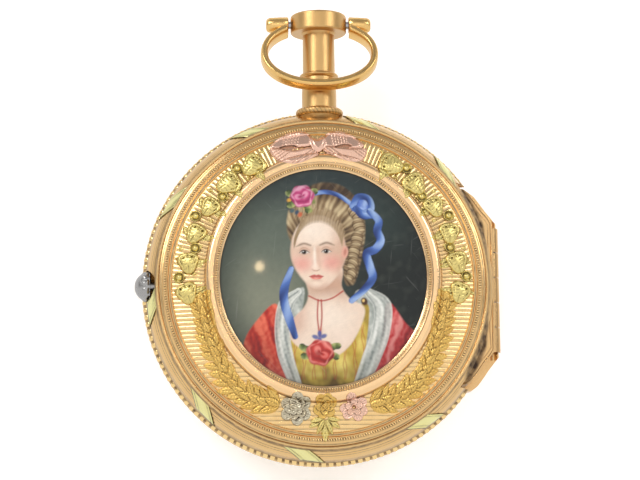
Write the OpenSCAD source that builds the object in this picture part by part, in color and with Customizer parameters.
// Verge pocket watch of about 1770 in a four-colour gold case with an enamel picture in its back.
// The pendant points up along +Z, the back of the case faces -Y and the dial faces +Y.
// The origin is on the case's centre axis, in the plane of the roped rim.

/* [Case] */
// Radius over the roped rim, the widest round of the case
rim_r = 23.05; // [22.5:0.05:24]
// Radius of the rope that edges the rim
rope_r = 0.55; // [0.4:0.05:0.65]
// Depth from the rim plane to the joint with the bezel
seam_y = 2.6; // [2.4:0.1:2.8]
// Height of the milled ring above the rim plane
milled_h = 4.5; // [4.4:0.05:4.7]
// Distance of the milled ring inside the rim
milled_in = 3; // [2.85:0.05:3.15]
// Height of the flat on which the picture frame sits, above the rim plane
seat_h = 5.6; // [5.5:0.05:5.8]
// Width of that flat outside the picture's frame
seat_ledge = 0.15; // [0.05:0.05:0.35]
// Thickness of the gold of the back
back_wall = 0.45; // [0.35:0.05:0.5]
// Thickness of the band from the rim to its bore
band_w = 1.85; // [1.75:0.05:2.05]
// Width of the ledge that the movement rests on
ledge_w = 1.3; // [1:0.1:1.5]
// Height of the lip that centres the bezel
lip_h = 0.5; // [0.4:0.05:0.6]

/* [Picture] */
// Distance of the oval picture's side inside the rim
picture_in = 9.85; // [9.55:0.05:10.25]
// How much longer than wide each half of the oval is
oval_gain = 0.8; // [0.4:0.1:1]
// How far the oval lies above the case's centre
picture_up = 0.5; // [0:0.1:0.6]
// Width of the polished frame round the picture
frame_w = 1.95; // [1.6:0.05:2]
// Height of the frame's crest above its flat
frame_h = 0.85; // [0.7:0.05:1]
// Thickness of the enamelled plaque at its edge
plaque_t = 0.55; // [0.45:0.05:0.55]
// How far the plaque swells in the middle
plaque_swell = 0.55; // [0.4:0.05:0.6]

/* [Pendant and bow] */
// Depth of the pendant's axis from the rim plane, towards the back
pendant_y = -0.7; // [-0.8:0.05:-0.6]
// Height of the bow's screws above the rim
pendant_len = 11.75; // [11.4:0.05:12.3]
// Radius of the pendant's head
head_r = 3.65; // [3.4:0.05:3.8]
// Thickness of the pendant's head
head_t = 2.4; // [2.2:0.05:2.6]
// Radius of the neck at its foot
neck_r = 2.25; // [2.1:0.05:2.3]
// Radius of the collar that meets the band
collar_r = 3.05; // [2.8:0.05:3.1]
// Outer half width of the bow
bow_a = 7.66; // [7.5:0.05:8]
// Reach of the bow beyond its screws
bow_reach = 10.1; // [9.9:0.1:10.6]
// Thickness of the bow's strip
bow_t = 1; // [0.85:0.05:1.05]
// Width of the bow's strip
bow_w = 1.9; // [1.7:0.1:2]
// Radius of the round ends of the bow
knob_r = 1.1; // [1:0.05:1.15]
// Radius of the bow's screw
bow_screw_r = 0.5; // [0.4:0.05:0.55]
// Angle of the resting bow from straight down, in degrees
bow_lean = 22; // [21:1:26]

/* [Joint of the bezel] */
// Distance of the joint's pin inside the rim
pin_in = 0.55; // [0.35:0.05:0.65]
// Radius of the knuckles
knuckle_r = 0.9; // [0.8:0.05:0.95]
// Radius of the joint's pin
pin_r = 0.4; // [0.3:0.05:0.45]
// Half length of the row of knuckles
joint_half = 8.2; // [8:0.1:8.6]
// Half length of the joint's blocks with their swept ends
block_half = 12.9; // [12.7:0.1:13]
// Height of the case's joint block above the rim plane
block_h = 1.2; // [1:0.1:1.6]

/* [Bezel and glass] */
// Distance of the bezel's edge inside the rim
bezel_in = 0.2; // [0.1:0.05:0.35]
// Height of the bezel from the joint to its crest
bezel_h = 3.3; // [3.2:0.05:3.5]
// Width of the bezel round the glass
bezel_w = 2.55; // [2.45:0.05:2.65]
// Thickness of the glass
glass_t = 0.8; // [0.6:0.05:0.9]
// Rise of the inside of the glass
glass_rise = 2.6; // [2.5:0.05:3]
// Width of the seat under the glass
glass_seat = 0.45; // [0.3:0.05:0.5]

/* [Push piece] */
// Radius of the fluted head
push_r = 1.95; // [1.8:0.05:2]
// Travel of the push piece
push_travel = 0.6; // [0.5:0.05:0.6]
// Radius of its stem
stem_r = 0.6; // [0.5:0.05:0.65]
// Depth of its axis from the rim plane
push_y = -1.4; // [-1.5:0.05:-1.3]
// Height of its head above the flutes' foot
push_dome = 1.4; // [1.3:0.05:1.5]
// Distance of the head's foot inside the rim
push_foot_in = 1.05; // [0.95:0.05:1.05]

/* [Plates] */
// Gap round the pillar plate
plate_gap = 0.8; // [0.7:0.05:1]
// Distance of the top plate's edge inside the pillar plate's
top_in = 2.6; // [2.4:0.1:2.8]
// Thickness of the pillar plate
plate_t = 0.8; // [0.7:0.05:0.85]
// Thickness of the top plate
top_t = 0.8; // [0.7:0.05:0.8]
// Height of the pillars between the plates
pillar_h = 4.85; // [4.8:0.05:4.9]
// Distance of the pillars inside the top plate's edge
pillar_in = 1.2; // [1.1:0.05:1.3]
// Radius of a pillar's ends
pillar_r = 0.85; // [0.7:0.05:0.9]

/* [Wheels] */
// Teeth of the great wheel
great_teeth = 54; // [52:1:55]
// Leaves of the centre pinion
centre_leaves = 12; // [12]
// Size of the great wheel's teeth as pitch diameter for each tooth
great_module = 0.22; // [0.218:0.001:0.222]
// Teeth of the centre wheel
centre_teeth = 60; // [60]
// Size of the centre wheel's teeth
centre_module = 0.16; // [0.159:0.001:0.161]
// Teeth of the third wheel
third_teeth = 50; // [50]
// Size of the third wheel's teeth
third_module = 0.14; // [0.139:0.001:0.141]
// Teeth of the contrate wheel
contrate_teeth = 48; // [48]
// Size of the contrate wheel's teeth
contrate_module = 0.13; // [0.129:0.001:0.131]
// Leaves of the small pinions
leaves = 6; // [6]
// Teeth of the verge escape wheel
escape_teeth = 13; // [13]
// Radius of the escape wheel
escape_r = 1.75; // [1.7:0.05:1.8]
// Distance of the balance from the contrate wheel
balance_d = 5.9; // [5.85:0.05:6]
// Outer radius of the balance
balance_r = 6.4; // [6.2:0.05:6.5]
// Radius of the mainspring barrel
barrel_r = 5.8; // [5.6:0.05:5.85]
// Distance of the barrel from the centre
barrel_d = 11.05; // [11:0.05:11.15]
// Turns of the chain's groove on the fusee
fusee_turns = 5; // [5:1:6]
// Size of the teeth under the dial
motion_module = 0.18; // [0.175:0.005:0.18]

/* [Dial and hands] */
// Distance of the dial's edge inside the pillar plate's
dial_in = 0.6; // [0.55:0.05:0.8]
// Thickness of the dial
dial_t = 0.7; // [0.6:0.05:0.75]
// Rise of the dial's middle over its edge
dial_rise = 0.95; // [0.8:0.05:1]
// Length of the minute hand
minute_len = 15.2; // [14:0.1:15.4]
// Length of the hour hand
hour_len = 10.2; // [9:0.1:10.8]

/* [Hidden] */
$fn = 96;
// Running clearance of a shaft in its hole
run_gap = 0.05;
// Free gap between neighbours that move past each other
free_gap = 0.1;
// Gap of the joint plane between case and bezel
seam_gap = 0.05;
// Share of a tooth's height above the pitch circle, and of the root below it, in modules
tooth_up = 1.1;
tooth_down = 1.4;

// Radii and places that follow from the sizes above
milled_r = rim_r - milled_in;
picture_a = rim_r - picture_in;
seat_r = picture_a + frame_w + seat_ledge;
band_bore_r = rim_r - band_w;
bow_z = rim_r + pendant_len;
pin_x = rim_r - pin_in;
bezel_r = rim_r - bezel_in;
glass_r = bezel_r - bezel_w;
push_foot_x = rim_r - push_foot_in;
plate_r = band_bore_r - plate_gap;
top_r = plate_r - top_in;
pillar_at = top_r - pillar_in;
dial_r = plate_r - dial_in;

// Heights along the depth axis
seat_y = -seat_h;
crest_y = seat_y - frame_h;
inner_y = seat_y + back_wall + 0.35;
plate_y = seam_y;
top_y = plate_y - pillar_h;
plate_face_y = plate_y + plate_t;
top_face_y = top_y - top_t;
bridge_t = 0.4;
bridge_y = inner_y + 0.2;
balance_t = 0.4;
balance_y = bridge_y + bridge_t + 0.15;

// Places of the arbors, seen from the back with X to the right and Z up
function polar(d, a) = [d * cos(a), d * sin(a)];
fusee_a = 205;
barrel_a = 300;
third_a = 25;
contrate_a = 80;
crown_a = 150;
fusee_d = great_module * (great_teeth + centre_leaves) / 2;
third_d = centre_module * (centre_teeth + leaves) / 2;
contrate_d = third_module * (third_teeth + leaves) / 2;
contrate_r = contrate_module * contrate_teeth / 2;
escape_pinion_r = contrate_module * leaves / 2;
fusee_p = polar(fusee_d, fusee_a);
barrel_p = polar(barrel_d, barrel_a);
third_p = polar(third_d, third_a);
contrate_p = third_p + polar(contrate_d, contrate_a);
balance_p = contrate_p + polar(balance_d, crown_a);
pillar_angles = [62, 150, 262, 345];

// Levels of the wheels between the plates
wheel_t = 0.3;
great_t = 0.4;
centre_y = plate_y - 0.2 - wheel_t;
great_y = centre_y - 0.2 - great_t;
third_y = great_y;
contrate_y = third_y - 0.3 - wheel_t;
contrate_face = 0.5;
crown_y = contrate_y - contrate_face - 0.3;

// Working shapes
module turned() rotate([-90, 0, 0]) rotate_extrude() children();
module face_prism(y0, h) translate([0, y0 + h, 0]) rotate([90, 0, 0]) linear_extrude(h) children();
module rod(p, y0, y1, r) translate([p[0], y0, p[1]]) rotate([-90, 0, 0]) cylinder(h = y1 - y0, r = r);
module along_x(x0, x1, y, z, r) translate([x0, y, z]) rotate([0, 90, 0]) cylinder(h = x1 - x0, r = r);
function arc(c, r, a0, a1, n) = [for (i = [0:n]) c + polar(r, a0 + (a1 - a0) * i / n)];

// Outline of the case's back and band from the centre to the joint plane, as radius and depth
flute_r0 = seat_r;
flute_r1 = milled_r - 0.8;
function flute_y(r) = let (k = (seat_h - milled_h - 0.1) / (flute_r1 * flute_r1 - flute_r0 * flute_r0))
  -seat_h + k * (r * r - flute_r0 * flute_r0);
shoulder_r = rim_r - 1.55;
shoulder_y = -milled_h + 0.9;
rope_c = rim_r - rope_r;
function back_outline() = concat(
  [[0, seat_y], [flute_r0, seat_y]],
  [for (i = [1:4]) let (r = flute_r0 + (flute_r1 - flute_r0) * i / 4) [r, flute_y(r)]],
  [[flute_r1 + 0.05, -milled_h - 0.25], [milled_r - 0.42, -milled_h - 0.22],
   [milled_r - 0.38, -milled_h - 0.02], [milled_r - 0.3, -milled_h - 0.1],
   [milled_r + 0.3, -milled_h + 0.02], [milled_r + 0.38, -milled_h + 0.1],
   [milled_r + 0.75, -milled_h + 0.25]],
  arc([milled_r + 1.02, -milled_h + 0.42], 0.26, 190, 340, 6),
  [[shoulder_r - 0.12, shoulder_y - 0.05]],
  arc([shoulder_r - 2.4, -rope_r - 0.05], 3.55, -54, 0, 6),
  arc([rope_c, 0], rope_r, -80, 80, 10),
  [[rim_r - 0.45, rope_r + 0.1], [rim_r - 0.45, seam_y]]);
module back_solid() turned() polygon(concat(back_outline(), [[0, seam_y]]));
// The same outline swelled outwards by h, for ornaments that lie on the case
module back_swelled(h) turned() polygon(concat(
  [[0, seat_y - h], [flute_r0, seat_y - h]],
  [for (i = [1:4]) let (r = flute_r0 + (flute_r1 - flute_r0) * i / 4) [r, flute_y(r) - h]],
  [[milled_r + 0.4, -milled_h - h - 0.1], [milled_r + 1.3, -milled_h + 0.2 - h]],
  arc([shoulder_r - 2.4, -rope_r - 0.05], 3.55 + h, -54, 0, 6),
  [[0, 0]]));
module relief(h) intersection() {
  difference() { back_swelled(h); back_solid(); }
  face_prism(-seat_h - 2, seat_h + 2) children();
}

// The oval of the picture: the outline that lies d outside its edge, and what is turned and then drawn out to it
oval_ratio = 1 + oval_gain / picture_a;
module oval(d) translate([0, picture_up])
  polygon([for (i = [0:95]) (picture_a + d) * [cos(3.75 * i), oval_ratio * sin(3.75 * i)]]);
module drawn_out() translate([0, 0, picture_up]) scale([1, 1, oval_ratio]) children();

// Teeth: a disc with n slender teeth, one of them centred at the angle turn
module toothed(n, root, tip, share, turn) {
  circle(root);
  for (i = [0:n - 1]) rotate(turn + i * 360 / n)
    let (w = 180 / n * share * PI / 180)
      polygon([[root - 0.1, -w * root], [root, -w * root], [(root + tip) / 2, -w * tip * 0.85],
        [tip, -w * tip * 0.25], [tip, w * tip * 0.25], [(root + tip) / 2, w * tip * 0.85],
        [root, w * root], [root - 0.1, w * root]]);
}
// A crossed-out wheel with arms
module spoked(n, root, tip, share, turn, rim, hub, arms, arm_w) {
  difference() {
    toothed(n, root, tip, share, turn);
    difference() {
      circle(root - rim);
      circle(hub);
      for (i = [0:arms - 1]) rotate(i * 360 / arms + 17) translate([0, -arm_w / 2]) square([root, arm_w]);
    }
  }
}
module at(p) translate([p[0], p[1]]) children();

hinge_y = plate_y + plate_t / 2;
hinge_z = plate_r - 0.05;
hinge_r = plate_t / 2;
catch_a = 165;
catch_r = rim_r - 2.1;
catch_t = 0.3;
// A curved piece from radius r0 to r1 and depth y0 to y1, centred at the angle a and as wide as the angle w
module sector(a, w, r0, r1, y0, y1) rotate([-90, 0, 0]) rotate(-a - w / 2) rotate_extrude(angle = w)
  translate([r0, y0]) square([r1 - r0, y1 - y0]);
module case_back() color("#e8bd84") difference() {
  union() {
    difference() {
      turned() polygon(concat(back_outline(),
        [[rim_r - 1.55, seam_y], [rim_r - 1.55, seam_y + lip_h], [rim_r - 2.05, seam_y + lip_h],
         [rim_r - 2.05, seam_y], [band_bore_r - ledge_w, seam_y], [band_bore_r - ledge_w, seam_y - 0.5],
         [band_bore_r, seam_y - 0.5], [band_bore_r, -0.4], [band_bore_r - 0.5, -2.5],
         [band_bore_r - 1.6, -3.65], [top_r - 0.4, inner_y + 0.3], [top_r - 1.2, inner_y], [0, inner_y]]));
      // Pocket that holds the plaque
      face_prism(seat_y - 1, 1 + seat_h + inner_y - 0.35) oval(frame_w * 0.45);
      // Space of the movement's hinge at the top
      translate([-3.1, seam_y - 0.3, hinge_z - 0.9]) cube([6.2, 2, rim_r - 1.6 - hinge_z + 0.9]);
    }
    // Lug of that hinge
    translate([-0.8, seam_y - 0.5, band_bore_r - ledge_w]) cube([1.6, 0.9, ledge_w + 0.1]);
    along_x(-0.8, 0.8, hinge_y, hinge_z, hinge_r);
  }
  along_x(-1, 1, hinge_y, hinge_z, hinge_pin_r);
  // Counterbore and bore of the push piece
  along_x(-rim_r - 1, -push_foot_x + push_travel, push_y, 0, push_r + 0.15);
  along_x(-rim_r - 1, -band_bore_r + 2, push_y, 0, stem_r + run_gap);
  // Seat of the joint block, the channels of the bezel's knuckles and the notch for the bezel's catch
  joint_seat(-milled_h + 0.6, seam_y + 1, bezel_block);
  knuckle_channels(2, bezel_first);
  sector(catch_a, 11, band_bore_r - ledge_w - 0.1, rim_r - 1.5, seam_y - 1, seam_y + 1);
  // Space of the movement's bolt at the bottom
  translate([-0.55, seam_y - 0.6, 0.45 - band_bore_r]) cube([1.1, 1.2, 1.2]);
}

module portrait_frame() color("#e2a276") drawn_out() turned() translate([picture_a, 0]) polygon(concat(
  [[-0.05, lip_under_y], [-0.05, seat_y - 0.28], [0.08, seat_y - 0.36], [0.62, crest_y + 0.16],
   [0.78, crest_y], [1.12, crest_y]],
  arc([1.12, crest_y + 0.72], 0.72, -90, -12, 6),
  [[frame_w, seat_y - 0.05], [frame_w, seat_y], [0.85, seat_y], [0.85, lip_under_y]]));
lip_under_y = seat_y - 0.12;
// What lies on the case and laps over the frame stands on the frame's crest
module on_frame() difference() {
  children();
  face_prism(crest_y, 4) oval(frame_w + 0.05);
}

plaque_edge_y = inner_y - 0.35 - plaque_t;
plaque_r = picture_a + 0.7;
module portrait_plaque() color("#39443c") drawn_out() turned() polygon(concat(
  [[0, inner_y - 0.35], [plaque_r, inner_y - 0.35]],
  [for (i = [12:-1:0]) let (r = plaque_r * i / 12) [r, plaque_edge_y - plaque_swell * (1 - pow(r / picture_a, 2))]]));

// Fruits of the garland, with the rings of drilled berries between them
ground_mid = (flute_r0 + flute_r1) / 2;
fruit_at = ground_mid + 0.125;
fruit_r = 1.12;
fruit_step = 12.9;
function fruit_place(s, i) = polar(fruit_at, 90 + s * (30 + fruit_step * i));
module garland_fruits() color("#cfc47a") difference() {
  for (s = [-1, 1], i = [0:5]) let (p = fruit_place(s, i))
    translate([p[0], flute_y(norm(p)), p[1]]) rotate([90, 0, 0]) rotate_extrude()
      polygon(concat([[0, -0.6], [fruit_r * 0.8, -0.6]], arc([0, 0], fruit_r, -15, 75, 6), [[0, fruit_r]]));
  back_solid();
}
module garland_rings() color("#d8c98a") difference() {
  for (s = [-1, 1], i = [0:4]) let (p = polar(fruit_at + (i % 2 == 0 ? 1.0 : -1.0), 90 + s * (36.4 + fruit_step * i)))
    translate([p[0], flute_y(norm(p)), p[1]]) rotate([90, 0, 0]) {
      translate([0, 0, -0.4]) cylinder(h = 0.75, r = 0.5);
      translate([0, 0, -0.4]) cylinder(h = 0.95, r = 0.22);
    }
  back_solid();
}

module leaf(l, w) let (r = (l * l + w * w) / (4 * w)) intersection() {
  translate([l / 2, r - w / 2]) circle(r);
  translate([l / 2, -r + w / 2]) circle(r);
}
branch_leaves = 10;
function branch_r(t) = ground_mid - 1.275 + 0.2 * t + 2.2 * sin(180 * t) * (0.55 + 0.45 * t);
function branch_a(t) = 193 + 55 * t;
module laurel_branches() color("#e3c263") relief(0.42) for (s = [0, 1]) mirror([s, 0]) {
  for (i = [0:branch_leaves - 1], k = [-1, 1]) let (t = (i + 0.5) / branch_leaves, p = polar(branch_r(t), branch_a(t)))
    translate(p) rotate(branch_a(t) - 90 + k * 32 + 4) leaf(2.1, 0.85);
  polygon(concat([for (i = [0:12]) polar(branch_r(i / 12) + 0.14, branch_a(i / 12))],
    [for (i = [12:-1:0]) polar(branch_r(i / 12) - 0.14, branch_a(i / 12))]));
}

module ribbon_bow() color("#dba793") on_frame() relief(0.5) translate([-0.45, ground_mid + 0.475]) {
  polygon([[0, 1.35], [-0.75, 1.2], [-1.0, 0.3], [0, -1.25], [1.0, 0.3], [0.75, 1.2]]);
  for (s = [-1, 1]) {
    polygon([[s * 1.1, 0.5], [s * 2.4, 1.5], [s * 4.4, 1.75], [s * 5.6, 0.7], [s * 5.9, -0.5],
      [s * 4.9, -1.9], [s * 3.6, -1.6], [s * 2.2, -1.3], [s * 1.1, -0.5]]);
  }
}

// Round flower of petals: n petals of radius r round a middle
module flower(n, r, ring) {
  circle(ring * 0.8);
  for (i = [0:n - 1]) rotate(360 / n * i + 12) translate([ring, 0]) circle(r);
}
flowers_z = 0.875 - ground_mid;
module grey_flower() color("#a59f8c") on_frame() relief(0.95) translate([-3.35, flowers_z + 0.1]) flower(5, 0.85, 1.05);
module pink_flower() color("#d9a48e") on_frame() relief(0.95) translate([3.65, flowers_z + 0.2]) rotate(5) flower(5, 0.74, 0.95);
module gold_rose() color("#e0b54f") on_frame() relief(1.05) translate([0.3, flowers_z + 0.4]) flower(6, 0.7, 0.85);
module leaf_spray() color("#ccc36c") relief(0.4) translate([0.1, flowers_z - 1.75]) for (a = [-150, -90, -35])
  rotate(a) translate([0.25, 0]) leaf(2.5, 1.3);

// Slanting ribbons that bind the outer moulding
band_angles = [6, 42, 75, 114, 150, 186, 225, 263, 306];
band_t = 0.14;
module ribbon_bands() color("#d2cf8a") difference() {
  intersection() {
    turned() polygon(concat(arc([shoulder_r - 2.4, -rope_r - 0.05], 3.55 + band_t, -50, -7, 6),
      arc([shoulder_r - 2.4, -rope_r - 0.05], 3.1, -7, -50, 6)));
    face_prism(-seat_h, seat_h) for (a = band_angles) rotate(a)
      polygon([[shoulder_r - 1.5, -2.8], [shoulder_r - 1.5, -1.1], [rim_r + 1, 2.2], [rim_r + 1, 0.5]]);
  }
  back_solid();
  push_space(push_r + 0.2);
  joint_space();
  pendant_space();
}
module push_space(r) along_x(-rim_r - 2, 2.05 - rim_r, push_y, 0, r);
module joint_space() face_prism(-milled_h, milled_h + 3) block_outline(bezel_block);
module pendant_space() translate([0, pendant_y, rim_r - 3]) cylinder(h = 6, r = collar_r + 0.1);

collar_z = rim_r - 0.15;
head_z0 = bow_z - head_t / 2;
module pendant() color("#e6bb80") difference() {
  translate([0, pendant_y, 0]) rotate_extrude() polygon(concat(
    [[0, collar_z - 3.2], [neck_r, collar_z - 3.2], [neck_r, collar_z + 2.6], [neck_r * 0.97, collar_z + 4.6],
     [neck_r + 0.12, collar_z + 4.7]],
    arc([neck_r + 0.05, collar_z + 4.95], 0.22, -60, 60, 4),
    [[neck_r * 0.93, collar_z + 5.3], [neck_r * 0.92, head_z0 - 0.3], [neck_r * 1.02, head_z0], [head_r - 0.4, head_z0]],
    arc([head_r - 0.25, head_z0 + 0.25], 0.25, -90, 0, 4),
    arc([head_r - 0.3, head_z0 + head_t - 0.3], 0.3, 0, 90, 4),
    [[0, head_z0 + head_t + 0.12]]));
  translate([-head_r - 1, pendant_y, bow_z]) rotate([0, 90, 0]) cylinder(h = 2 * head_r + 2, r = bow_screw_r);
  translate([0, pendant_y, 0]) rotate_extrude() polygon(collar_cut());
  back_solid();
}
function collar_cut() = [[0, 0], [collar_r + 1, 0], [collar_r + 1, collar_z + 0.5], [neck_r, collar_z + 0.5],
  [neck_r, collar_z - 3], [0, collar_z - 3]];
module pendant_collar() color("#dfae72") difference() {
  translate([0, pendant_y, 0]) rotate_extrude() polygon(concat(
    [[neck_r, collar_z + 0.5], [neck_r, collar_z - 3], [neck_r + 0.25, collar_z - 3], [neck_r + 0.1, collar_z - 1.2],
     [neck_r + 0.45, collar_z - 0.55]],
    arc([collar_r - 0.46, collar_z], 0.46, -80, 80, 10),
    [[neck_r + 0.3, collar_z + 0.5]]));
  back_solid();
}

// The bow: a stirrup in a plane that leans from straight down, drawn with its screws on the X axis
knob_len = 2.9;
bow_mid = 4.9;
bow_top = 0.3;
function bow_outline(d) = [for (i = [-6:22]) let (a = 180 * i / 16, c = cos(a), s = sin(a), k = 2 / 2.1)
  [(bow_a - d) * sign(c) * pow(abs(c), k),
   -bow_mid - sign(s) * ((s > 0 ? bow_reach - bow_mid : bow_mid + bow_top) - d) * pow(abs(s), k)]];
module bow() color("#e3b476") translate([0, pendant_y, bow_z]) rotate([-bow_lean, 0, 0]) difference() {
  union() {
    intersection() {
      translate([0, bow_w, 0]) rotate([90, 0, 0]) linear_extrude(2 * bow_w) difference() {
        polygon(bow_outline(0));
        polygon(bow_outline(bow_t));
        translate([-head_r - 0.3, -2]) square([2 * head_r + 0.6, 6]);
      }
      // The strip widens from the middle of the bow to its ends
      rotate([90, 0, 90]) translate([0, 0, -bow_a - 1]) linear_extrude(2 * bow_a + 2)
        polygon([[-bow_w * 0.45, -bow_reach - 1], [bow_w * 0.45, -bow_reach - 1], [bow_w * 0.72, 2], [-bow_w * 0.72, 2]]);
    }
    for (s = [0, 1]) mirror([s, 0, 0]) translate([head_r + 0.3, 0, 0]) rotate([0, 90, 0])
      rotate_extrude() polygon([[0, 0], [knob_r, 0], [knob_r, knob_len - 0.3], [knob_r - 0.3, knob_len], [0, knob_len]]);
  }
  translate([-bow_a - 1, 0, 0]) rotate([0, 90, 0]) cylinder(h = 2 * bow_a + 2, r = bow_screw_r + run_gap);
}
module bow_screw() color("#caa06a") translate([0, pendant_y, bow_z]) {
  translate([-head_r - 0.25 - knob_len, 0, 0]) rotate([0, 90, 0])
    cylinder(h = 2 * (head_r + 0.25 + knob_len), r = bow_screw_r);
}

// Joint of the bezel: square blocks with swept ends, and a row of five knuckles
knuckle_len = joint_half * 2 / 5 - free_gap;
// How far the edges of the two blocks stand from the joint's pin: the case's block lies behind it, the bezel's beyond
case_block = [-0.3, 0];
bezel_block = [0.65, 0.4];
function block_edge(grow) = [for (q = [[-4.5, 0], [-3.6, -0.2], [-2.8, -0.8], [-2.15, -1.65], [-1.35, -2.8],
  [0, joint_half - block_half + 0.2]]) [pin_x + q[0] + grow[0], block_half + q[1] + grow[1]]];
module block_outline(grow) let (e = block_edge(grow))
  polygon(concat([[rim_r - 8, -e[0][1]]], [for (q = e) [q[0], -q[1]]], [for (i = [5:-1:0]) e[i]], [[rim_r - 8, e[0][1]]]));
joint_wall_r = rim_r - 1.15;
module joint_seat(y0, y1, grow) difference() {
  face_prism(y0, y1 - y0) block_outline(grow);
  rod([0, 0], y0 - 1, y1 + 1, joint_wall_r);
}
module knuckles(count, first) for (i = [0:count - 1])
  translate([pin_x, seam_y, first + i * joint_half * 0.8]) cylinder(h = knuckle_len, r = knuckle_r);
module knuckle_channels(count, first) for (i = [0:count - 1])
  translate([pin_x, seam_y, first + i * joint_half * 0.8 - free_gap])
    cylinder(h = knuckle_len + 2 * free_gap, r = knuckle_r + free_gap);
case_first = -joint_half;
bezel_first = -joint_half + joint_half * 0.4 + free_gap / 2;
module case_joint() color("#d9a565") difference() {
  union() {
    difference() {
      face_prism(-block_h, block_h + seam_y) block_outline(case_block);
      rod([0, 0], -block_h - 1, seam_y + 1, joint_wall_r);
    }
    difference() {
      knuckles(3, case_first);
      rod([0, 0], 0, seam_y + 3, joint_wall_r);
    }
  }
  knuckle_channels(2, bezel_first);
  translate([pin_x, seam_y, -joint_half - 1]) cylinder(h = 2 * joint_half + 2, r = pin_r);
}
module joint_pin() color("#b9b6ac") translate([pin_x, seam_y, -joint_half]) cylinder(h = 2 * joint_half, r = pin_r);

bezel_y = seam_y + seam_gap;
module bezel_solid() turned() polygon(concat(
  [[0, bezel_y], [rim_r - 0.45, bezel_y], [bezel_r, bezel_y + 0.25], [bezel_r, bezel_y + 0.75]],
  arc([bezel_r - 2.0, bezel_y + 0.75], 1.85, 10, 75, 7),
  [[glass_r + 0.45, bezel_y + bezel_h - 0.2], [glass_r + 0.35, bezel_y + bezel_h], [0, bezel_y + bezel_h]]));
glass_y = bezel_y + bezel_h - 0.95;
module bezel() color("#e5b87c") {
  bezel_ring();
  // Catch that the lock spring stands behind
  sector(catch_a, 6, catch_r, catch_r + catch_t, seam_y - 0.9, seam_y + 1);
}
module bezel_ring() difference() {
  bezel_solid();
  turned() polygon([[0, bezel_y - 1], [rim_r - 1.4, bezel_y - 1], [rim_r - 1.4, seam_y + lip_h + 0.12],
    [plate_r + 0.5, seam_y + lip_h + 0.25], [plate_r + 0.5, glass_y - 0.7], [glass_r - glass_seat, glass_y - 0.4],
    [glass_r - glass_seat, glass_y], [glass_r, glass_y], [glass_r, bezel_y + bezel_h + 1], [0, bezel_y + bezel_h + 1]]);
  joint_seat(bezel_y - 1, bezel_y + bezel_h * 0.62, bezel_block);
  knuckle_channels(3, case_first);
}
module bezel_joint() color("#d7a363") difference() {
  union() {
    difference() {
      face_prism(bezel_y, bezel_h * 0.62) block_outline(bezel_block);
      rod([0, 0], bezel_y - 1, bezel_y + bezel_h, joint_wall_r);
    }
    difference() {
      knuckles(2, bezel_first);
      rod([0, 0], 0, seam_y + 3, joint_wall_r);
    }
  }
  knuckle_channels(3, case_first);
  translate([pin_x, seam_y, -joint_half - 1]) cylinder(h = 2 * joint_half + 2, r = pin_r + run_gap);
}

module glass_dome(r, y, rise) let (s = (r * r + rise * rise) / (2 * rise)) intersection() {
  translate([0, y + rise - s, 0]) sphere(s, $fn = 200);
  rod([0, 0], y, y + rise + 1, r);
}
module crystal() color([0.85, 0.92, 0.95, 0.35]) difference() {
  union() {
    rod([0, 0], glass_y, glass_y + 0.5, glass_r);
    glass_dome(glass_r - 0.02, glass_y + 0.5, glass_rise + glass_t - 0.5);
  }
  glass_dome(glass_r - glass_seat, glass_y, glass_rise);
  rod([0, 0], glass_y - 1, glass_y + 0.01, glass_r - glass_seat);
}

module push_piece() color("#8f9096") translate([-push_foot_x, push_y, 0]) rotate([0, -90, 0]) {
  linear_extrude(0.3) flower(10, 0.36, push_r - 0.4);
  cylinder(h = 0.3, r = push_r - 0.35);
  translate([0, 0, 0.3]) rotate_extrude() polygon(concat([[0, 0], [push_r - 0.05, 0]],
    arc([0, -0.25], push_r, 12, 80, 6) , [[0.5, push_dome - 0.3], [0, push_dome - 0.3]]));
  translate([0, 0, push_dome - 0.32]) cylinder(h = 0.3, r = 0.75, $fn = 8);
  translate([0, 0, spring_r + run_gap - push_foot_x]) cylinder(h = push_foot_x - spring_r, r = stem_r);
}
spring_r = band_bore_r - 0.6;
spring_t = 0.3;
module lock_spring() color("#7b7f88") {
  sector(180 - 1, 46, spring_r - spring_t, spring_r, push_y - 0.8, push_y + 0.8);
  // Arm that reaches up behind the bezel's catch, and the foot that is fixed to the band
  sector(catch_a, 5, spring_r - spring_t + 0.03, spring_r - 0.03, push_y + 0.6, seam_y - 0.7);
  sector(200, 3, spring_r - 0.1, spring_r + 0.12, push_y - 0.6, push_y + 0.6);
  // Rolled eye about which the spring bends
  rod(polar(spring_r - spring_t / 2, 200), push_y - 0.8, push_y + 0.8, spring_t);
}

hinge_pin_r = 0.2;
module movement_pin() color("#b9b6ac") along_x(-2.5, 2.5, hinge_y, hinge_z, hinge_pin_r);

minute_d = motion_module * 20;
minute_p = polar(minute_d, 40);
module pillar_plate() color("#d9b45c") difference() {
  union() {
    rod([0, 0], plate_y, plate_face_y, plate_r);
    for (s = [0, 1]) mirror([s, 0, 0]) along_x(0.9, 2.5, hinge_y, hinge_z, hinge_r);
  }
  rod([0, 0], plate_y - 1, plate_face_y + 1, 0.5 + run_gap);
  for (p = [barrel_p, third_p, contrate_p]) rod(p, plate_y - 1, plate_face_y + 1, 0.3 + run_gap);
  rod(fusee_p, plate_y - 1, plate_face_y + 1, 0.85 + run_gap);
  rod(minute_p, plate_y - 1, plate_face_y + 1, 0.25);
  // Slot of the bolt's thumb piece, and room for the case's lug
  translate([-0.5, plate_y - 1, -plate_r - 1]) cube([1, 3, 2.45]);
  translate([-0.9, plate_y - 1, band_bore_r - ledge_w - 0.1]) cube([1.8, 3, 2]);
  along_x(-3, 3, hinge_y, hinge_z, hinge_pin_r + run_gap);
}
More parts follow.
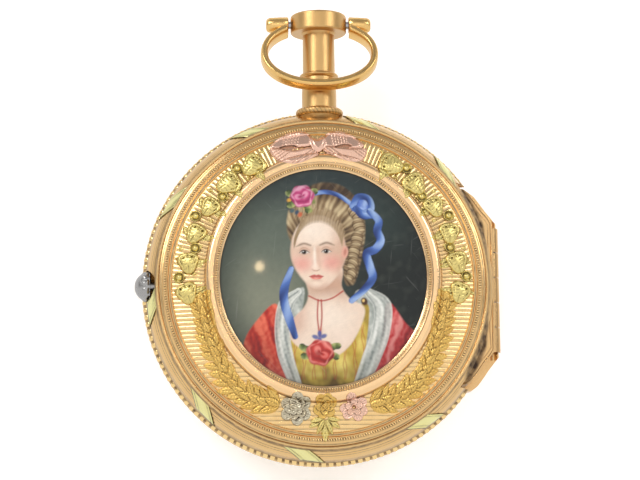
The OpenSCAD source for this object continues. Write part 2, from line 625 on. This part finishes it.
module pillars() color("#d2aa50") for (a = pillar_angles) let (p = polar(pillar_at, a))
  translate([p[0], top_y, p[1]]) rotate([-90, 0, 0]) rotate_extrude() polygon([[0, 0], [pillar_r, 0],
    [pillar_r, 0.4], [pillar_r * 0.55, 0.7], [pillar_r * 0.5, 1.2], [pillar_r * 0.8, pillar_h / 2 - 0.2],
    [pillar_r * 0.8, pillar_h / 2 + 0.2], [pillar_r * 0.5, pillar_h - 1.2], [pillar_r * 0.55, pillar_h - 0.7],
    [pillar_r, pillar_h - 0.4], [pillar_r, pillar_h], [0, pillar_h]]);
module top_plate() color("#dcb861") difference() {
  rod([0, 0], top_face_y, top_y, top_r);
  for (p = [barrel_p, fusee_p, third_p, contrate_p]) rod(p, top_face_y - 1, top_y + 1, 0.3 + run_gap);
  rod([0, 0], top_face_y - 1, top_y + 1, 0.35 + run_gap);
  rod(balance_p, top_face_y - 1, top_y + 1, 0.9);
}
module plate_screws() color("#5b6274") for (a = pillar_angles) let (p = polar(pillar_at, a)) difference() {
  rod(p, top_face_y - 0.45, top_face_y, 0.8);
  translate([p[0], top_face_y - 0.45, p[1]]) cube([2, 0.4, 0.22], center = true);
}

// Pierced bridge over the balance, with two feet
foot_x = 8.3;
module balance_bridge() color("#dfba62") {
  difference() {
    face_prism(bridge_y, bridge_t) at(balance_p) {
      difference() {
        circle(7.3);
        for (i = [0:5]) rotate(60 * i) {
          translate([4.7, 0]) leaf_window(2.5, 1.9);
          rotate(30) translate([5.5, 0]) circle(0.62);
          rotate(30) translate([3.0, 0]) circle(0.55);
        }
      }
      circle(1.3);
    }
    rod(balance_p, bridge_y - 1, bridge_y + 2, 0.2);
  }
  difference() {
    union() for (s = [-1, 1]) {
      face_prism(bridge_y, bridge_t) at(balance_p) translate([s * (foot_x - 0.5), 0]) square([3.2, 2.6], center = true);
      face_prism(bridge_y, top_face_y - bridge_y) at(balance_p) translate([s * foot_x, 0]) square([1.6, 2.6], center = true);
    }
    for (s = [-1, 1]) rod(balance_p + [s * foot_x, 0], bridge_y - 1, top_face_y + 1, 0.45);
    face_prism(bridge_y - 0.5, bridge_t + 1) at(balance_p) circle(7.3);
  }
}
module leaf_window(l, w) translate([-l / 2, 0]) leaf(l, w);
module bridge_screws() color("#5b6274") for (s = [-1, 1]) let (p = balance_p + [s * foot_x, 0]) difference() {
  union() {
    rod(p, bridge_y, top_face_y, 0.44);
    rod(p, bridge_y - 0.12, bridge_y, 0.75);
  }
  translate([p[0], bridge_y - 0.12, p[1]]) cube([2, 0.12, 0.2], center = true);
}

module along_crown(y) translate([contrate_p[0], y, contrate_p[1]]) rotate([0, -crown_a, 0]) children();
module potence() color("#d4ad55") along_crown(0) difference() {
  union() {
    translate([balance_d + 0.75, top_y, -0.7]) cube([1.1, pillar_h - 0.1, 1.4]);
    translate([balance_d - 0.75, plate_y - 0.55, -0.7]) cube([1.6, 0.45, 1.4]);
    // Nose that carries the front pivot of the escape wheel, and the arm that holds it
    translate([balance_d - 0.6, crown_y - 0.4, -0.4]) cube([0.25, 0.8, 1.15]);
    translate([balance_d - 0.6, crown_y - 0.4, 0.4]) cube([1.6, 0.8, 0.35]);
  }
  translate([balance_d, plate_y - 1, 0]) rotate([-90, 0, 0]) cylinder(h = 4, r = staff_r + run_gap);
  translate([balance_d - 1, crown_y, 0]) rotate([0, 90, 0]) cylinder(h = 0.9, r = 0.15 + run_gap);
}
module counter_potence() color("#d4ad55") along_crown(0) difference() {
  translate([1.1, top_y, -0.55]) cube([0.9, crown_y + 0.5 - top_y, 1.1]);
  translate([0, crown_y, 0]) rotate([0, 90, 0]) cylinder(h = 3, r = 0.15 + run_gap);
}

regulator_p = [-8.8, 3.4];
module regulator_plate() color("#dcb760") difference() {
  face_prism(top_face_y - 0.3, 0.3) at(regulator_p) circle(3.1);
  rod(regulator_p, top_face_y - 1, top_face_y + 1, 0.5);
}
module regulator_disc() color("#c9ccd0") difference() {
  union() {
    rod(regulator_p, top_face_y - 0.75, top_face_y - 0.35, 2.5);
    rod(regulator_p, top_face_y - 0.4, top_face_y - 0.02, 0.45);
  }
  translate([regulator_p[0], top_face_y - 1.1, regulator_p[1]]) cube([0.9, 1.0, 0.9], center = true);
}

bolt_travel = 0.8;
module movement_bolt() color("#a9a9ab") {
  translate([-0.9, plate_y - 0.6, 0.9 - plate_r]) cube([1.8, 0.55, 2.4]);
  translate([-0.9, seam_y - 1.1, -band_bore_r + 0.6]) cube([1.8, 0.55, 2]);
  // Thumb piece that stands up through the plate and past the edge of the dial
  translate([-0.4, plate_y - 1, 0.1 - plate_r]) cube([0.8, 2.1, 0.4]);
}

module barrel_drum() color("#dcb55a") difference() {
  rod(barrel_p, top_y + 0.35, plate_y - 0.3, barrel_r);
  rod(barrel_p, top_y + 0.85, plate_y - 0.7, barrel_r - 0.5);
  rod(barrel_p, top_y, plate_y, 0.55 + run_gap);
}
module barrel_arbor() color("#8c9098") {
  rod(barrel_p, top_face_y - 0.5, plate_y + 0.6, 0.3);
  rod(barrel_p, top_y + 0.15, plate_y - 0.15, 0.55);
}
// A flat strip of width w wound from radius r0 to radius r1
module spiral(r0, r1, turns, w, n) polygon(concat(
  [for (i = [0:n * turns]) polar(r0 + (r1 - r0) * i / (n * turns), 360 * i / n)],
  [for (i = [n * turns:-1:0]) polar(r0 + w + (r1 - r0) * i / (n * turns), 360 * i / n)]));
module mainspring() color("#59616e") face_prism(top_y + 0.95, pillar_h - 1.75) at(barrel_p)
  spiral(0.6, barrel_r - 0.75, 8, 0.16, 20);

// Stepped cone of the fusee, with a groove for each turn of the chain
chain_pitch = 0.5;
chain_t = 0.3;
chain_w = 0.16;
function cone_r(i) = 2.6 + 2.1 * pow(i / fusee_turns, 1.6);
cone_y0 = great_y - 0.15 - chain_pitch * (fusee_turns + 1);
function groove_y(i) = cone_y0 + i * chain_pitch + 0.16;
module fusee_cone() color("#cfa94f") translate([fusee_p[0], 0, fusee_p[1]]) {
  turned() polygon(concat([[0, cone_y0 - 0.2], [cone_r(0) + 0.3, cone_y0 - 0.2]],
    [for (i = [0:fusee_turns], k = [0:3]) let (y = cone_y0 + i * chain_pitch, r = cone_r(i))
      k == 0 ? [r + 0.22, y] : k == 1 ? [r - 0.06, y + 0.12] : k == 2 ? [r - 0.06, y + 0.36] : [r + 0.24, y + 0.48]],
    [[cone_r(fusee_turns) + 0.25, great_y - 0.1], [0, great_y - 0.1]]));
  rod([0, 0], top_face_y, great_y, 0.3);
  rod([0, 0], great_y - 0.2, plate_face_y, 0.85);
  translate([-0.6, plate_face_y - 0.1, -0.6]) cube([1.2, 1.3, 1.2]);
}
module great_wheel() color("#d7b257") face_prism(great_y, great_t) at(fusee_p) difference() {
  wheel(great_teeth, great_module, fusee_a + 180, 0.8, 1.7, 4, 0.8);
  circle(0.85 + run_gap);
}
chain_on = 3;
chain_r = cone_r(chain_on) + 0.04;
chain_drum_r = barrel_r + 0.04;
chain_to = barrel_p - fusee_p;
// Direction from each arbor to the point where the straight run leaves it
chain_a = atan2(chain_to[1], chain_to[0]) - acos((chain_r - chain_drum_r) / norm(chain_to));
module chain_ring(p, r, y) translate([p[0], y, p[1]]) turned() translate([r, 0]) square([chain_t, chain_w]);
module fusee_chain() color("#6d6a66") {
  for (i = [1:chain_on]) chain_ring(fusee_p, cone_r(i) + 0.04, groove_y(i));
  for (i = [0:1]) chain_ring(barrel_p, chain_drum_r, groove_y(chain_on) - 0.45 * i);
  face_prism(groove_y(chain_on), chain_w) polygon([fusee_p + polar(chain_r + 0.02, chain_a),
    fusee_p + polar(chain_r + chain_t, chain_a), barrel_p + polar(chain_drum_r + chain_t, chain_a),
    barrel_p + polar(chain_drum_r + 0.02, chain_a)]);
}

// A wheel and a pinion of the given module; a pinion's tooth space faces the angle turn
module wheel(n, m, turn, rim, hub, arms, arm_w)
  spoked(n, m * (n / 2 - tooth_down), m * (n / 2 + tooth_up), 0.4, turn, rim, hub, arms, arm_w);
module pinion(p, y0, y1, n, m, turn) face_prism(y0, y1 - y0) at(p)
  toothed(n, m * (n / 2 - tooth_down), m * (n / 2 + tooth_up * 0.8), 0.36, turn + 180 / n);
module centre_wheel() color("#d7b257") {
  face_prism(centre_y, wheel_t) wheel(centre_teeth, centre_module, third_a, 0.6, 0.9, 4, 0.55);
  pinion([0, 0], great_y - 0.1, centre_y + 0.01, centre_leaves, great_module, fusee_a);
  rod([0, 0], top_face_y, centre_y, 0.35);
  rod([0, 0], centre_y + wheel_t - 0.01, plate_face_y, 0.5);
  rod([0, 0], plate_y, minute_hand_y + 0.3, 0.28);
}
module third_wheel() color("#d7b257") {
  face_prism(third_y, wheel_t) at(third_p) wheel(third_teeth, third_module, contrate_a, 0.5, 0.7, 4, 0.45);
  pinion(third_p, centre_y - 0.1, centre_y + wheel_t + 0.05, leaves, centre_module, third_a + 180);
  rod(third_p, third_y, centre_y, 0.24);
  rod(third_p, top_face_y, plate_y + 0.6, 0.2);
}
module contrate_wheel() color("#d7b257") {
  face_prism(contrate_y, wheel_t) at(contrate_p) difference() {
    circle(contrate_r + 0.2);
    difference() {
      circle(contrate_r - 0.55);
      circle(0.75);
      for (i = [0:3]) rotate(i * 90 + 17) translate([0, -0.22]) square([contrate_r, 0.44]);
    }
  }
  face_prism(contrate_y - contrate_face, contrate_face + 0.01) at(contrate_p) difference() {
    toothed(contrate_teeth, contrate_r - 0.19, contrate_r + 0.2, 0.42, crown_a);
    circle(contrate_r - 0.2);
  }
  pinion(contrate_p, third_y - 0.1, third_y + wheel_t + 0.1, leaves, third_module, contrate_a + 180);
  rod(contrate_p, top_face_y, plate_y + 0.6, 0.2);
}
escape_x = balance_d - 1.85;
module escape_wheel() color("#d7b257") along_crown(crown_y) {
  translate([escape_x, 0, 0]) rotate([0, 90, 0]) {
    difference() {
      cylinder(h = 0.25, r = escape_r);
      for (i = [0:2]) rotate(i * 120 + 20) translate([escape_r * 0.52, 0, -1]) cylinder(h = 3, r = escape_r * 0.27);
    }
    difference() {
      cylinder(h = 0.6, r = escape_r);
      translate([0, 0, -1]) cylinder(h = 3, r = escape_r - 0.3);
    }
    for (i = [0:escape_teeth - 1]) rotate(i * 360 / escape_teeth) translate([escape_r - 0.3, 0, 0.59])
      rotate([90, 0, 90]) linear_extrude(0.28) polygon([[-0.36, 0], [0.3, 0], [0.34, 0.6], [0.24, 0.62]]);
  }
  translate([contrate_r - 0.35, 0, 0]) rotate([0, 90, 0]) linear_extrude(0.75)
    toothed(leaves, escape_pinion_r * 0.56, escape_pinion_r + 0.1, 0.28, 0);
  translate([1.15, 0, 0]) rotate([0, 90, 0]) cylinder(h = balance_d - 0.4 - 1.15, r = 0.15);
}

staff_r = 0.17;
pallet_l = 0.48;
module verge_staff() color("#8f939b") {
  rod(balance_p, bridge_y + 0.05, plate_y - 0.15, staff_r);
  for (s = [-1, 1]) translate([balance_p[0], crown_y + s * (escape_r - 0.15), balance_p[1]])
    rotate([0, s * 48 - crown_a, 0]) translate([-pallet_l, -0.25, -0.06]) cube([pallet_l, 0.5, 0.12]);
}
module balance_wheel() color("#cdb27a") face_prism(balance_y, balance_t) at(balance_p) difference() {
  circle(balance_r);
  difference() {
    circle(balance_r - 0.65);
    circle(0.8);
    for (i = [0:2]) rotate(i * 120 + 40) translate([0, -0.25]) square([balance_r, 0.5]);
  }
  circle(staff_r);
}
module balance_spring() color("#4a5a86") face_prism(balance_y + balance_t + 0.2, 0.2) at(balance_p)
  spiral(0.5, 2.9, 3, 0.08, 24);

dial_y = plate_face_y + 0.1;
module dial() color("#f4f1ea") difference() {
  union() {
    turned() polygon(concat([[0, dial_y + dial_rise]],
      [for (i = [1:10]) let (t = i / 10) [(dial_r - 0.5) * t, dial_y + dial_rise * (1 - t * t)]],
      [[dial_r, dial_y]],
      [for (i = [10:-1:0]) let (t = i / 10) [dial_r * t, dial_y + dial_t + dial_rise * (1 - t * t)]]));
  }
  rod([0, 0], dial_y - 1, dial_y + 3, 1.5);
  rod(fusee_p, dial_y - 1, dial_y + 3, 1.5);
  // Notch for the bolt's thumb piece
  translate([-0.6, dial_y - 1, -dial_r - 1]) cube([1.2, 3, 1.9]);
}
module dial_feet() color("#b9875a") for (a = [40, 160, 280]) let (p = polar(14, a))
  rod(p, plate_face_y, dial_y + 0.3, 0.5);

hour_hand_y = dial_y + dial_t + dial_rise + 0.12;
hand_t = 0.15;
minute_hand_y = hour_hand_y + hand_t + 0.15;
cannon_leaves = 10;
minute_teeth = 3 * cannon_leaves;
nut_leaves = 8;
hour_teeth = 4 * nut_leaves;
module cannon_pinion() color("#8f939b") difference() {
  union() {
    pinion([0, 0], plate_face_y + 0.05, plate_face_y + 0.3, cannon_leaves, motion_module, 40);
    rod([0, 0], plate_face_y + 0.05, minute_hand_y, 0.55);
  }
  rod([0, 0], plate_face_y - 1, minute_hand_y + 1, 0.28 + run_gap);
}
module minute_wheel() color("#d7b257") {
  face_prism(plate_face_y + 0.07, 0.18) at(minute_p) wheel(minute_teeth, motion_module, 220, 0.5, 0.6, 3, 0.4);
  pinion(minute_p, plate_face_y + 0.2, plate_face_y + 0.68, nut_leaves, motion_module, 220);
  rod(minute_p, plate_y + 0.2, plate_face_y + 0.75, 0.2);
}
module hour_wheel() color("#d7b257") difference() {
  union() {
    face_prism(plate_face_y + 0.42, 0.2) wheel(hour_teeth, motion_module, 40, 0.5, 1, 3, 0.4);
    rod([0, 0], plate_face_y + 0.42, hour_hand_y, 0.95);
  }
  rod([0, 0], plate_face_y, hour_hand_y + 1, 0.55 + run_gap);
}
module hand(l, w, hub, hole, turn) rotate(turn) difference() {
  union() {
    circle(hub);
    polygon([[0, -w * 0.4], [l * 0.55, -w * 0.3], [l * 0.62, -w], [l * 0.7, -w * 0.3], [l, 0],
      [l * 0.7, w * 0.3], [l * 0.62, w], [l * 0.55, w * 0.3], [0, w * 0.4]]);
    translate([-hub * 2.2, 0]) circle(hub * 0.6);
    translate([-hub * 2.2, -w * 0.3]) square([hub * 2.2, w * 0.6]);
  }
  circle(hole);
}
module minute_hand() color("#3d3a3c") face_prism(minute_hand_y, hand_t) hand(minute_len, 0.55, 1.1, 0.28, 66);
module hour_hand() color("#3d3a3c") face_prism(hour_hand_y, hand_t) hand(hour_len, 0.75, 1.5, 0.95, 140);

case_back();
portrait_frame();
portrait_plaque();
garland_fruits();
garland_rings();
laurel_branches();
ribbon_bow();
gold_rose();
grey_flower();
pink_flower();
leaf_spray();
ribbon_bands();
pendant();
pendant_collar();
bow();
bow_screw();
case_joint();
joint_pin();
push_piece();
lock_spring();
bezel();
bezel_joint();
crystal();
movement_pin();
pillar_plate();
pillars();
top_plate();
plate_screws();
balance_bridge();
bridge_screws();
potence();
counter_potence();
regulator_plate();
regulator_disc();
movement_bolt();
barrel_drum();
barrel_arbor();
mainspring();
fusee_chain();
fusee_cone();
great_wheel();
centre_wheel();
third_wheel();
contrate_wheel();
escape_wheel();
verge_staff();
balance_wheel();
balance_spring();
dial();
dial_feet();
cannon_pinion();
minute_hand();
minute_wheel();
hour_wheel();
hour_hand();
